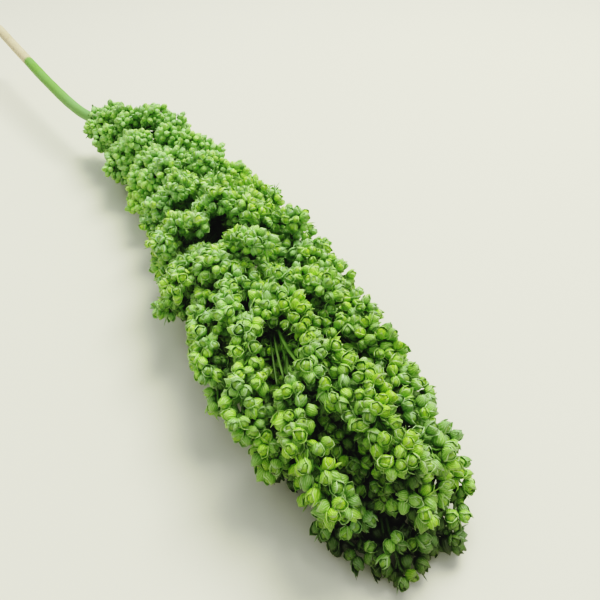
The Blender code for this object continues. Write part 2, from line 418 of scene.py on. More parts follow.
def make_variants():
    near, semi, mid, far, tiny, blades, blades_far = [], [], [], [], [], [], []
    # closed bud, its two tips meeting over the seed
    p = Part(); core(p)
    glume(p, 0, 104, 22, 158, lift=(0.13, 0.16), flare=0.10, tip=0.14, tipup=0.60)
    glume(p, 176, 98, 20, 148, lift=(0.04, 0.14), flare=0.10, tip=0.18, tipup=0.36)
    near.append(p.done())
    # rosette: rims of several husks around a small hollow
    p = Part(); core(p, top=0.72, dimple=0.8)
    glume(p, 20, 116, 20, 142, lift=(0.12, 0.10), flare=0.06, tip=0.30, tipup=0.30)
    glume(p, 195, 108, 20, 148, lift=(0.03, 0.07), flare=0.06, tip=0.28, tipup=0.22)
    glume(p, 110, 70, 70, 160, lift=(0.0, 0.06), flare=0.06, tip=0.4, tipup=0.16, nu=4, nv=4)
    near.append(p.done())
    # round seed that just shows between its husks
    p = Part(); core(p, r=(1.46, 1.40, 1.60), top=1.0)
    glume(p, 0, 106, 22, 150, lift=(0.07, 0.10), flare=0.06, tip=0.18, tipup=0.26)
    glume(p, 176, 104, 20, 142, lift=(0.03, 0.09), flare=0.07, tip=0.20, tipup=0.18)
    near.append(p.done())
    # gaping: one husk stands away with a pointed tip
    p = Part(); core(p, r=(1.32, 1.30, 1.58))
    glume(p, 10, 92, 20, 138, lift=(0.10, 0.36), flare=0.10, tip=0.10, tipup=0.80)
    glume(p, 185, 112, 20, 158, lift=(0.05, 0.10), flare=0.08, tip=0.22, tipup=0.3)
    near.append(p.done())
    # plump bud with three husks in a spiral
    p = Part(); core(p, r=(1.42, 1.42, 1.55), top=0.95)
    glume(p, 0, 84, 22, 148, lift=(0.15, 0.15), flare=0.12, tip=0.20, tipup=0.50)
    glume(p, 122, 82, 22, 152, lift=(0.07, 0.10), flare=0.10, tip=0.22, tipup=0.28, nu=5)
    glume(p, 241, 74, 30, 156, lift=(0.02, 0.08), flare=0.08, tip=0.26, tipup=0.2, nu=5, nv=4)
    near.append(p.done())
    # open pair: both husks lean away from the seed
    p = Part(); core(p, r=(1.36, 1.32, 1.58), top=1.0)
    glume(p, 0, 96, 22, 140, lift=(0.08, 0.20), flare=0.06, tip=0.10, tipup=0.55)
    glume(p, 168, 92, 20, 136, lift=(0.05, 0.18), flare=0.06, tip=0.12, tipup=0.45)
    near.append(p.done())
    # rosebud: four husks nested in one another
    p = Part(); core(p, r=(1.36, 1.36, 1.50), top=0.9)
    glume(p, 0, 96, 18, 116, lift=(0.22, 0.22), flare=0.08, tip=0.24, tipup=0.26, nu=5, nv=4)
    glume(p, 148, 98, 18, 131, lift=(0.15, 0.17), flare=0.08, tip=0.22, tipup=0.26, nu=5, nv=4)
    glume(p, 262, 92, 20, 147, lift=(0.07, 0.13), flare=0.07, tip=0.22, tipup=0.24, nu=5, nv=4)
    glume(p, 62, 88, 24, 162, lift=(0.01, 0.08), flare=0.04, tip=0.20, tipup=0.26, nu=6, nv=4)
    near.append(p.done())

    # the same kinds with fewer faces, for where they look smaller
    small = dict(nu=4, nv=4, thick=0.13)
    few = dict(cols=6, polar=(52, 98, 140))
    p = Part(); core(p, **few)                                       # closed bud
    glume(p, 0, 110, 24, 160, lift=(0.10, 0.12), flare=0.06, tip=0.16, tipup=0.50, **small)
    glume(p, 180, 102, 22, 150, lift=(0.03, 0.10), flare=0.08, tip=0.20, tipup=0.30, **small)
    semi.append(p.done())
    p = Part(); core(p, r=(1.44, 1.40, 1.60), **few)                  # the seed just shows
    glume(p, 0, 104, 24, 146, lift=(0.08, 0.12), flare=0.06, tip=0.20, tipup=0.30, **small)
    glume(p, 172, 100, 22, 138, lift=(0.03, 0.12), flare=0.07, tip=0.22, tipup=0.24, **small)
    semi.append(p.done())
    p = Part(); core(p, r=(1.40, 1.40, 1.52), top=0.95, **few)        # three in a spiral
    glume(p, 0, 88, 24, 146, lift=(0.13, 0.12), flare=0.08, tip=0.24, tipup=0.36, **small)
    glume(p, 122, 86, 24, 152, lift=(0.07, 0.10), flare=0.08, tip=0.22, tipup=0.28, **small)
    glume(p, 241, 78, 30, 156, lift=(0.02, 0.08), flare=0.08, tip=0.26, tipup=0.2, **small)
    semi.append(p.done())
    p = Part(); core(p, r=(1.36, 1.36, 1.50), top=0.85, **few)        # nested rosebud
    glume(p, 0, 96, 20, 118, lift=(0.22, 0.22), flare=0.08, tip=0.24, tipup=0.26, **small)
    glume(p, 148, 98, 20, 136, lift=(0.11, 0.12), flare=0.05, tip=0.30, tipup=0.18, **small)
    glume(p, 262, 92, 24, 156, lift=(0.03, 0.10), flare=0.05, tip=0.24, tipup=0.24, **small)
    semi.append(p.done())

    for kw in (dict(point=0.24), dict(point=-0.12, dimple=0.8), dict(point=0.10, step=0.10), dict(point=0.34, step=0.16)):
        p = Part(); wrapped(p, 9, 3, (38, 84, 124, 152), **kw)
        mid.append(p.done())
    for kw in (dict(point=0.24), dict(point=0.02), dict(point=0.12), dict(point=0.36, step=0.16)):
        p = Part(); wrapped(p, 6, 3, (44, 92, 140), **kw)
        far.append(p.done())
    p = Part(); wrapped(p, 6, 3, (56, 122), point=0.2)
    tiny.append(p.done())
    for kw in (dict(length=3.9, width=1.25, curl=0.5, fold=0.5), dict(length=4.8, width=0.95, curl=1.1, fold=0.4),
               dict(length=3.2, width=1.5, curl=0.25, fold=0.6), dict(length=5.2, width=0.60, curl=1.5, fold=0.3)):
        p = Part(); blade(p, **kw); blades.append(p.done())
        p = Part(); blade(p, stations=(0.45,), **kw); blades_far.append(p.done())
    return near, semi, mid, far, tiny, blades, blades_far


NEAR, SEMI, MID, FAR, TINY, BLADES, BLADES_FAR = make_variants()
print("triangles a seed:", [p.triangles for p in NEAR], [p.triangles for p in SEMI], MID[0].triangles, FAR[0].triangles, TINY[0].triangles)

# ------------------------------------------------ where the branchlets and seeds go
stations = np.linspace(0, HEAD_LENGTH, 701)
shape = np.array([smooth(SECTIONS, x) for x in stations])
cum = np.cumsum(shape[:, 0] + shape[:, 1])
cum = (cum - cum[0]) / (cum[-1] - cum[0])

# the outline as a surface, to look it up from the camera
turns = np.linspace(0, 2 * math.pi, 49)[:-1]
skin = np.concatenate([np.stack((np.full(48, x), c_[2] + c_[0] * np.cos(turns), c_[3] + c_[1] * np.sin(turns)), 1)
                       for x, c_ in zip(stations[::5], shape[::5])])
rows_ = len(stations[::5])
skin_faces = [(j * 48 + i, j * 48 + (i + 1) % 48, (j + 1) * 48 + (i + 1) % 48, (j + 1) * 48 + i)
              for j in range(rows_ - 1) for i in range(48)]
skin_tree = BVHTree.FromPolygons(skin.tolist(), skin_faces)


def axis_point(x):
    c_ = smooth(SECTIONS, x)
    return np.array((x, c_[2], c_[3]))


def make_finger(base, bend, tip, r, out=None, steps=9):
    t = np.linspace(0, 1, steps)[:, None]
    path = (1 - t) ** 2 * base + 2 * t * (1 - t) * bend + t ** 2 * tip
    seg = np.linalg.norm(np.diff(path, axis=0), axis=1)
    run = np.concatenate(([0], np.cumsum(seg)))
    length = run[-1]
    tan = unit(np.gradient(path, axis=0))
    away = path.mean(0) - axis_point(path.mean(0)[0])
    out = unit(away if out is None else out)
    return dict(path=path, run=run, length=length, tan=tan, r=r, out=out, mid=path[steps // 2],
                base=base, tip=tip)


def finger_radius(F, u):
    """The radius of the surface that the seeds sit on, along a branchlet."""
    u = np.clip(u, 0, 1)
    cap = np.clip((u * F["length"] - (F["length"] - F["r"])) / F["r"], 0, 1)
    root = np.clip(u / 0.30, 0, 1)
    return F["r"] * (0.62 + 0.38 * np.sin(0.5 * math.pi * root)) * np.sqrt(np.maximum(1 - cap ** 2, 0.0)) \
        * (1.06 - 0.14 * u)


def inside_finger(P, F):
    """Distance to a branchlet's middle line over its radius there."""
    best = np.full(len(P), 9.0)
    path, run = F["path"], F["run"]
    for k in range(len(path) - 1):
        a, b = path[k], path[k + 1]
        ab = b - a
        t = np.clip(((P - a) @ ab) / (ab @ ab), 0, 1)
        d = np.linalg.norm(P - (a + t[:, None] * ab), axis=1)
        u = (run[k] + t * (run[k + 1] - run[k])) / F["length"]
        # a seed past the rounded end is measured from the end's middle
        r = F["r"] * (0.62 + 0.38 * np.sin(0.5 * math.pi * np.clip(u / 0.30, 0, 1))) * (1.06 - 0.14 * u)
        best = np.minimum(best, d / r)
    return best


GOLD = math.pi * (3 - math.sqrt(5))
fingers = []
front_tips = []
for base, bend, tip, r in FRONT:
    b_, m_, t_ = at_pixel(*base), at_pixel(*bend), at_pixel(*tip)
    b_ = b_ * 0.72 + (b_ * 0.4 + axis_point(min(b_[0], 320)) * 0.6) * 0.28
    t_ = t_ - unit(t_ - m_) * 1.2
    m_ = m_ + (m_ - (b_ + t_) / 2) * 0.7
    fingers.append(make_finger(b_, m_, t_, r))
    fingers[-1]["front"] = True
    front_tips.append(pixels(t_)[0][0])
front_tips = np.array(front_tips)
for k in range(FINGERS):
    f = (k + 0.5) / FINGERS
    x = float(np.interp(f, cum, stations))
    x = min(max(x + rng.uniform(-3.0, 3.0), 5.0), HEAD_LENGTH - 2)
    angle = k * math.radians(137.508) + rng.uniform(-0.12, 0.12)
    e, n, t = envelope(x, angle)
    small = min(1.0, 0.66 + 0.34 * x / 55, 0.72 + 0.28 * (HEAD_LENGTH - x) / 60)
    under = k % 5 < 2                        # two in five belong to the layer below
    r = (rng.uniform(4.2, 5.4) if under else rng.uniform(4.0, 5.2)) * small
    length = rng.uniform(26, 36) * small
    lean = math.radians(rng.uniform(23, 38)) * min(1.0, 0.30 + (HEAD_LENGTH - x) / 80)
    side = np.cross(n, t)
    d = unit(t * math.cos(lean) + n * math.sin(lean) + side * rng.uniform(-0.22, 0.22))
    # its end stands a little out of the outline, then bends down by its weight
    tip = e + n * ((rng.uniform(-7.5, -5.0) if under else rng.uniform(-1.4, 3.0 if x < 240 else 0.4)) * small - r * 0.85)
    tip[0] = min(tip[0], HEAD_LENGTH - 4.0 - r)
    base = tip - d * length
    bend = base * 0.42 + tip * 0.58 + n * 3.2
    tip = tip + np.array((0, 0, -1.0)) * max(0.0, 1.6 * (1 - abs(n[2]))) 
    p_, depth_ = pixels(tip + n * r)
    facing = float(unit(CAMERA - tip) @ n)
    if facing > 0.02 and x > 236:
        near_tip = np.linalg.norm(front_tips - p_[0], axis=1).min()
        if near_tip < 40 or p_[0][1] > 345:
            if not under:
                continue
            tip, bend = tip - n * 3.5, bend - n * 4.5
    elif x > 236 and p_[0][0] > 400:
        tip, bend = tip - n * 3.2, bend - n * 3.2
    F = make_finger(base, bend, tip, r, out=n)
    F["front"] = False
    fingers.append(F)
print("branchlets:", len(fingers))

cand_p, cand_d, cand_f, cand_cl = [], [], [], []
clusters = []
for fi, F in enumerate(fingers):
    area_ = 2 * math.pi * F["r"] * F["length"] * 0.86
    count = max(6, int(area_ / 40.0))
    grid = np.linspace(0.04, 1.0, 60)
    dens = np.maximum(finger_radius(F, grid), 0.25 * F["r"])
    cdf = np.cumsum(dens)
    cdf = (cdf - cdf[0]) / (cdf[-1] - cdf[0])
    turn = rng.uniform(0, 6.28)
    for j in range(count):
        u = float(np.interp((j + 0.5) / count, cdf, grid))
        s_ = u * F["length"]
        p0 = np.array([np.interp(s_, F["run"], F["path"][:, k]) for k in range(3)])
        tan = unit([np.interp(s_, F["run"], F["tan"][:, k]) for k in range(3)])
        side = unit(np.cross(tan, F["out"]))
        out = np.cross(side, tan)
        th = j * GOLD + turn + rng.uniform(-0.25, 0.25)
        radial = side * math.cos(th) + out * math.sin(th)
        cap = min(max((s_ - (F["length"] - F["r"])) / F["r"], 0), 1)
        nn = unit(radial * math.sqrt(max(1 - cap * cap, 0.0)) + tan * cap)
        if radial @ F["out"] < -0.62 and cap < 0.5 and u < 0.8:
            continue
        rad = float(finger_radius(F, u))
        p = p0 + radial * rad
        axis = unit(nn + 0.40 * tan + rng.normal(0, 0.12, 3))
        mid_p = p - nn * (2.0 + rng.uniform(-0.8, 0.8))
        ci = len(clusters)
        clusters.append((mid_p, axis, fi, p0 - tan * 3.0))
        e1 = unit(np.cross(axis, (0.31, 0.52, 0.8)))
        e2 = np.cross(axis, e1)
        around = rng.integers(3, 6)
        roll = rng.uniform(0, 6.28)
        size = rng.uniform(2.15, 2.65)
        dirs = [axis + rng.normal(0, 0.08, 3)]
        for m_ in range(around):
            ph = roll + 2 * math.pi * m_ / around + rng.uniform(-0.2, 0.2)
            tilt = math.radians(rng.uniform(56, 78))
            dirs.append(axis * math.cos(tilt) + (e1 * math.cos(ph) + e2 * math.sin(ph)) * math.sin(tilt))
        for dd in dirs:
            dd = unit(dd)
            cand_p.append(mid_p + dd * (size + rng.uniform(-0.25, 0.25)))
            cand_d.append(dd)
            cand_f.append(fi)
            cand_cl.append(ci)

P = np.array(cand_p)
D = np.array(cand_d)
FI = np.array(cand_f)
CL = np.array(cand_cl)
print("seeds tried:", len(P))
# inside another branchlet they would never have grown
keep = np.ones(len(P), bool)
for fi, F in enumerate(fingers):
    idx = np.nonzero((np.linalg.norm(P - F["mid"], axis=1) < F["length"] * 0.6 + F["r"]) & (FI != fi) & keep)[0]
    if len(idx):
        keep[idx[inside_finger(P[idx], F) < 0.90]] = False
# the openings, as deep as they look from the camera
px, depth = pixels(P)
front_depth = depth.copy()
for i in np.nonzero(keep)[0]:
    hit = skin_tree.ray_cast(Vector(CAMERA), Vector(unit(P[i] - CAMERA)), 900)
    if hit[0] is not None:
        front_depth[i] = pixels(np.array(hit[0]))[1][0]
for cx, cy, rx, ry, turn, deep in OPENINGS:
    c, s = math.cos(math.radians(turn)), math.sin(math.radians(turn))
    u = ((px[:, 0] - cx) * c + (px[:, 1] - cy) * s) / (rx + 2)
    w = (-(px[:, 0] - cx) * s + (px[:, 1] - cy) * c) / (ry + 2)
    keep &= ~((u * u + w * w < 1) & (depth < front_depth + deep * (1 - 0.5 * (u * u + w * w))))
P, D, FI, CL = P[keep], D[keep], FI[keep], CL[keep]
# the table presses the lowest ones flat against it
low = PRESS + 0.5 * SEED
under = P[:, 2] < low
P[under, 2] = low + rng.uniform(0, 0.35, under.sum())
D[under] = unit(D[under] * np.array((1, 1, 0.35)) + rng.normal(0, 0.1, (under.sum(), 3)))

# the outermost take their place first
hw = np.interp(P[:, 0], stations, shape[:, 0])
hh = np.interp(P[:, 0], stations, shape[:, 1])
cy = np.interp(P[:, 0], stations, shape[:, 2])
cz = np.interp(P[:, 0], stations, shape[:, 3])
radial = np.hypot((P[:, 1] - cy) / hw, (P[:, 2] - cz) / hh)
order = np.argsort(-(radial + rng.uniform(0, 0.10, len(P))))
tree = {}
cell = SEED_GAP
taken = []
offsets = [(i, j, k) for i in (-1, 0, 1) for j in (-1, 0, 1) for k in (-1, 0, 1)]
keys = np.floor(P / cell).astype(int)
PL = P.tolist()
for i in order:
    kx, ky, kz = keys[i]
    x_, y_, z_ = PL[i]
    ok = True
    for ox, oy, oz in offsets:
        for j in tree.get((kx + ox, ky + oy, kz + oz), ()):
            q_ = PL[j]
            if (x_ - q_[0]) ** 2 + (y_ - q_[1]) ** 2 + (z_ - q_[2]) ** 2 < cell * cell:
                ok = False
                break
        if not ok:
            break
    if ok:
        tree.setdefault((kx, ky, kz), []).append(i)
        taken.append(i)
taken = np.array(taken)
P, D, FI, CL = P[taken], D[taken], FI[taken], CL[taken]
print("seeds placed:", len(P))

# more sit on the branchlets' inner sides, loosely
kd = KDTree(len(P))
for i, p in enumerate(P):
    kd.insert(p, i)
kd.balance()
more_p, more_f, more_cl = [], [], []
for fi, F in enumerate(fingers):
    own = np.nonzero(FI == fi)[0]
    if not len(own):
        continue
    for k in range(12):
        u = rng.uniform(0.05, 0.95)
        s_ = u * F["length"]
        p0 = np.array([np.interp(s_, F["run"], F["path"][:, j]) for j in range(3)])
        d_ = unit(rng.normal(0, 1, 3) - F["out"] * 1.0)
        q_ = p0 + d_ * rng.uniform(1.5, F["r"])
        if q_[2] < low + 0.2 or kd.find(q_)[2] < 2.9:
            continue
        if more_p and min(np.linalg.norm(np.array(more_p[-40:]) - q_, axis=1)) < 2.9:
            continue
        if any((px_ - cx) ** 2 / (rx + 2) ** 2 + (py_ - cy) ** 2 / (ry + 2) ** 2 < 1
               for px_, py_ in pixels(q_)[0] for cx, cy, rx, ry, _, _ in OPENINGS[:5]):
            continue
        more_p.append(q_)
        more_f.append(fi)
        more_cl.append(CL[own[0]])
more_p = np.array(more_p)
P = np.concatenate((P, more_p))
D = np.concatenate((D, unit(rng.normal(0, 0.5, more_p.shape) + np.array([unit(fingers[f]["tip"] - fingers[f]["base"]) for f in more_f]))))
FI = np.concatenate((FI, more_f))
CL = np.concatenate((CL, more_cl))
print("inner seeds:", len(more_p))

# neighbours push each other apart a little
for step in range(4):
    kd = KDTree(len(P))
    for i, p in enumerate(P):
        kd.insert(p, i)
    kd.balance()
    push = np.zeros_like(P)
    for i, p in enumerate(P):
        for co_, j, dist in kd.find_range(p, 2.95):
            if j != i and dist > 1e-6:
                push[i] += (p - P[j]) / dist * (2.95 - dist) * 0.30
    P = P + push
    P[:, 2] = np.maximum(P[:, 2], low)

# -------------------------------------------- what can be seen of each, and from where
ICO = np.array([(math.cos(t) * math.sin(p), math.sin(t) * math.sin(p), math.cos(p)) for p, t in
                [(0, 0)] + [(math.atan(2), k * 2 * math.pi / 5) for k in range(5)]
                + [(math.pi - math.atan(2), (k + 0.5) * 2 * math.pi / 5) for k in range(5)] + [(math.pi, 0)]])
ICO_F = [(0, 1 + k, 1 + (k + 1) % 5) for k in range(5)] + [(1 + k, 6 + k, 1 + (k + 1) % 5) for k in range(5)] \
    + [(1 + (k + 1) % 5, 6 + k, 6 + (k + 1) % 5) for k in range(5)] + [(6 + k, 11, 6 + (k + 1) % 5) for k in range(5)]
ICO_F = np.array(ICO_F)
verts = (P[:, None, :] + ICO[None] * 1.55).reshape(-1, 3)
faces = (np.arange(len(P))[:, None, None] * 12 + ICO_F[None]).reshape(-1, 3)
bvh = BVHTree.FromPolygons(verts.tolist(), faces.tolist(), all_triangles=True)
ways = []
for k in range(40):
    z = 1 - 2 * (k + 0.5) / 40
    r_ = math.sqrt(1 - z * z)
    ways.append(Vector((r_ * math.cos(k * GOLD), r_ * math.sin(k * GOLD), z)))
up_way = np.array([w.z > -0.12 for w in ways])
seen = np.zeros((len(P), len(ways)), bool)
for i, p in enumerate(P):
    v = Vector(p)
    for k, w in enumerate(ways):
        seen[i, k] = bvh.ray_cast(v + w * 2.0, w, 120.0)[0] is None
open_up = seen[:, up_way].mean(1)
open_any = seen.mean(1)
# how free each stands, outwards: little in the valleys and gaps
way_v = np.array([tuple(w) for w in ways])
cy = np.interp(P[:, 0], stations, shape[:, 2])
cz = np.interp(P[:, 0], stations, shape[:, 3])
hw = np.interp(P[:, 0], stations, shape[:, 0])
hh = np.interp(P[:, 0], stations, shape[:, 1])
outward = unit(np.stack((0.25 + 0 * cy, (P[:, 1] - cy) / hw ** 2 * 900, (P[:, 2] - cz) / hh ** 2 * 900), 1))
weight = np.clip(outward @ way_v.T - 0.15, 0, 1)
free = (seen * weight).sum(1) / weight.sum(1)
# painted light and shade: how much of the sky on the key light's side each seed sees; with how open it stands, this
# sets how light its colour is painted
weight = np.clip(way_v @ unit((-0.12, 0.36, 0.92)) - 0.10, 0, 1)
lit = (seen * weight).sum(1) / weight.sum()
print("free:", np.round(np.percentile(free, [5, 25, 50, 75, 95]), 2), "lit:", np.round(np.percentile(lit, [5, 25, 50, 75, 95]), 2))
free = np.clip(0.45 * free + 0.60 * lit, 0, 1)
# painted shade: seeds low by the table are painted darker
foot = np.clip((P[:, 2] - PRESS - 3.0) / 15.0, 0, 1)
free *= 0.36 + 0.64 * foot * foot * (3 - 2 * foot)
print("both:", np.round(np.percentile(free, [5, 25, 50, 75, 95]), 2),
      "in view:", np.round(np.percentile(free[(pixels(P)[0][:, 1] > 300)], [5, 25, 50, 75, 95]), 2))
px, depth = pixels(P)
size_px = FOCAL * SEED / depth
in_view = np.zeros(len(P))
for i, p in enumerate(P):
    to = unit(CAMERA - p)
    s1 = unit(np.cross(to, (0, 0, 1.0)))
    s2 = np.cross(to, s1)
    got = 0
    for ox, oy in ((0, 0), (1.0, 0.4), (-1.0, -0.4), (-0.4, 1.0), (0.4, -1.0), (0.75, -0.75), (-0.75, 0.75)):
        start = p + to * 1.7 + s1 * ox + s2 * oy
        got += bvh.ray_cast(Vector(start), Vector(to), 500.0)[0] is None
    in_view[i] = got / 7
level = np.full(len(P), 4)
level[open_up > 0.22] = 3
level[(in_view > 0) & (size_px > 4.6)] = 2
level[(in_view > 0.25) & (size_px > 6.8)] = 1
level[(in_view > 0.12) & (size_px > 9.0)] = 1
level[(in_view > 0.25) & (size_px > 9.6)] = 0
level[(in_view > 0.12) & (size_px > 11.0)] = 0
level[(open_any < 0.02) & (in_view == 0)] = 5                     # buried: nothing shows them
print("levels:", [int((level == k).sum()) for k in range(6)])

# ---------------------------------------------------------------- assembling pieces
centres = branch_centres()
fc = np.array([F["mid"] for F in fingers])
owner = np.array([np.argmin(((centres - c) ** 2).sum(1)) for c in fc])
for b in range(BRANCH_COUNT):                   # every branch carries a branchlet
    if not (owner == b).any():
        order_ = np.argsort(((fc - centres[b]) ** 2).sum(1))
        for k in order_:
            if (owner == owner[k]).sum() > 1:
                owner[k] = b
                break


class Piece:
    def __init__(self):
        self.v, self.q, self.t, self.tone, self.grain, self.mq, self.mt = [], [], [], [], [], [], []
        self.n = 0

    def add(self, v, q, t, tone, grain, mat):
        self.v.append(v)
        self.q.append(q + self.n)
        self.t.append(t + self.n)
        self.tone.append(tone)
        self.grain.append(grain)
        self.mq.append(np.full(len(q), mat))
        self.mt.append(np.full(len(t), mat))
        self.n += len(v)

    def instances(self, part, pos, rot, scale, rnd, expo, mat):
        """pos (n,3), rot (n,3,3) with the part's axes as columns, scale (n,3)."""
        n, m_ = len(pos), len(part.v)
        if not n:
            return
        v = part.v[None] * scale[:, None, :]
        v = np.einsum("nij,nmj->nmi", rot, v) + pos[:, None, :]
        base = (np.arange(n) * m_)[:, None, None]
        tone = np.zeros((n, m_, 4))
        tone[..., 0] = np.clip(part.a[None, :, 0], -1, 1) * 0.5 + 0.5
        tone[..., 1] = part.a[None, :, 1]
        tone[..., 2] = rnd[:, None, 0]
        tone[..., 3] = expo[:, None]
        grain = np.zeros((n, m_, 3))
        grain[..., 0] = np.cos(part.a[None, :, 2])
        grain[..., 1] = np.sin(part.a[None, :, 2])
        grain[..., 2] = part.a[None, :, 3]
        self.add(v.reshape(-1, 3), (part.q[None] + base).reshape(-1, 4), (part.t[None] + base).reshape(-1, 3),
                 tone.reshape(-1, 4), grain.reshape(-1, 3), mat)

    def tube(self, path, radii, sides, rnd, mat=1, expo=0.5, flat=1.0):
        path = np.asarray(path, float)
        n = len(path)
        tan = unit(np.gradient(path, axis=0))
        ref = np.array((0.0, 0.3, 1.0)) if abs(tan[0][2]) < 0.8 else np.array((0, 1.0, 0.2))
        e1 = unit(np.cross(tan, ref))
        e2 = np.cross(tan, e1)
        ang = 2 * np.pi * np.arange(sides) / sides
        rings = path[:, None, :] + (e1[:, None, :] * np.cos(ang)[None, :, None]
                                    + e2[:, None, :] * (flat * np.sin(ang))[None, :, None]) * np.asarray(radii)[:, None, None]
        p = Part()
        attr = np.zeros((n * sides + 2, 4))
        attr[:-2, 2] = np.tile(ang, n)
        attr[:-2, 3] = np.repeat(np.linspace(0, 1, n), sides)
        lathe(p, rings, sides, path[0], path[-1], attr)
        p.done()
        self.instances(p, np.zeros((1, 3)), np.eye(3)[None], np.ones((1, 3)), np.array([[rnd, rnd]]),
                       np.array([expo]), mat)

    def mesh(self, name):
        v = np.concatenate(self.v)
        v = v + SHIFT
        v[:, 2] = np.maximum(v[:, 2], 0.02)
        q = np.concatenate(self.q)
        t = np.concatenate(self.t)
        me = bpy.data.meshes.new(name)
        me.vertices.add(len(v))
        me.vertices.foreach_set("co", (v / 1000).astype(np.float32).ravel())
        loops = np.concatenate((q.ravel(), t.ravel()))
        me.loops.add(len(loops))
        me.loops.foreach_set("vertex_index", loops.astype(np.int32))
        starts = np.concatenate((np.arange(len(q)) * 4, len(q) * 4 + np.arange(len(t)) * 3))
        me.polygons.add(len(starts))
        me.polygons.foreach_set("loop_start", starts.astype(np.int32))
        me.polygons.foreach_set("material_index", np.concatenate(self.mq + self.mt).astype(np.int32))
        me.update(calc_edges=True)
        tone = me.attributes.new("tone", "FLOAT_COLOR", "POINT")
        tone.data.foreach_set("color", np.concatenate(self.tone).astype(np.float32).ravel())
        grain = me.attributes.new("grain", "FLOAT_VECTOR", "POINT")
        grain.data.foreach_set("vector", np.concatenate(self.grain).astype(np.float32).ravel())
        me.shade_smooth()
        self.triangles = 2 * len(q) + len(t)
        return me


pieces = [Piece() for _ in range(BRANCH_COUNT)]
rnd = rng.random((len(P), 3))


def frames(axis, roll):
    """Rotation matrices whose third column is axis."""
    ref = np.where(np.abs(axis[:, 2:3]) < 0.9, np.array([[0, 0, 1.0]]), np.array([[1.0, 0, 0]]))
    e1 = unit(np.cross(ref, axis))
    e2 = np.cross(axis, e1)
    c, s = np.cos(roll)[:, None], np.sin(roll)[:, None]
    a, b = e1 * c + e2 * s, -e1 * s + e2 * c
    return np.stack((a, b, axis), 2)


flow = np.array([unit(F["tip"] - F["base"]) for F in fingers])[FI]
axis = unit(D * 0.95 + flow * 0.40 + rng.normal(0, 0.13, D.shape))
roll = rng.uniform(0, 2 * np.pi, len(P))
R = frames(axis, roll)
base = SEED / 3.0 * (0.90 + 0.20 * rnd[:, 2])
S = np.stack((base * rng.uniform(0.95, 1.06, len(P)), base * rng.uniform(0.94, 1.05, len(P)),
              base * rng.uniform(0.92, 1.14, len(P))), 1)
kinds = (NEAR, SEMI, MID, FAR, TINY)
choice = rng.random(len(P))
share = np.array((0.22, 0.32, 0.40, 0.47, 0.66, 0.72, 1.01))     # of each kind of near seed
near_kind = np.searchsorted(share, choice)
for b in range(BRANCH_COUNT):
    mine = owner[FI] == b
    for lv, kind in enumerate(kinds):
        for ki, part in enumerate(kind):
            sel = mine & (level == lv) & ((near_kind if lv == 0 else np.floor(choice * len(kind)).astype(int)) == ki)
            pieces[b].instances(part, P[sel], R[sel], S[sel], rnd[sel], free[sel], 0)

# narrow empty spikelets beside some of them
wants = rng.random(len(P))
has = (wants < 0.40) & (level < 4)
tilt = rng.uniform(0.30, 0.80, len(P))
side_v = R[:, :, 0]
bl_axis = unit(axis * np.cos(tilt)[:, None] + side_v * np.sin(tilt)[:, None])
bl_pos = P - axis * 1.2 + side_v * 1.1
bx = -unit(np.cross(np.cross(bl_axis, side_v), bl_axis))
by = np.cross(bl_axis, bx)
BR = np.stack((bx, by, bl_axis), 2)
bs = rng.uniform(0.75, 1.05, len(P))
for b in range(BRANCH_COUNT):
    mine = owner[FI] == b
    for ki in range(len(BLADES)):
        which = np.floor(wants / 0.40 * len(BLADES)).astype(int) == ki
        for far_, part in ((False, BLADES[ki]), (True, BLADES_FAR[ki])):
            sel = mine & has & which & ((level >= 3) == far_) & (bl_pos[:, 2] > PRESS + 1.5)
            pieces[b].instances(part, bl_pos[sel], BR[sel], np.repeat(bs[sel, None], 3, 1), rnd[sel], free[sel], 0)

# twigs to every cluster that shows, and the branchlets' own stalks
alive = {}
for i in range(len(P)):
    if level[i] < 4:
        alive.setdefault(CL[i], []).append(i)
for ci, members in alive.items():
    c_p, c_a, fi, root = clusters[ci]
    top = np.mean(P[members], axis=0) * 0.5 + c_p * 0.5
    bend = root * 0.5 + top * 0.5 + unit(fingers[fi]["tip"] - fingers[fi]["base"]) * 0.9
    if min(root[2], top[2]) < PRESS + 0.5:
        continue
    # painted shade: each twig is painted about as dark as its seeds
    pieces[owner[fi]].tube([root, bend, top], [0.42, 0.36, 0.30], 3, float(rng.random()), 1,
                           expo=float(np.mean(free[members])) * 0.9)
for fi, F in enumerate(fingers):
    bx_ = F["base"][0]
    foot = rachis_point(min(max(bx_ - 14.0, 2.0), 294.0))
    a0, a1 = F["base"], F["path"][-2]
    way = unit(rachis_point(min(foot[0] + 8, 298))- foot)
    path = [foot, foot * 0.55 + a0 * 0.45 + way * 3.0, a0] + [F["path"][k] for k in (2, 4, 6)] + [a1]
    path = np.array(path)
    path[:, 2] = np.maximum(path[:, 2], PRESS + 0.9)
    # painted shade: the branchlets' own stalks are all painted fairly dark
    pieces[owner[fi]].tube(path, np.linspace(0.75, 0.34, len(path)), 5, float(rng.random()), 1, expo=0.26)
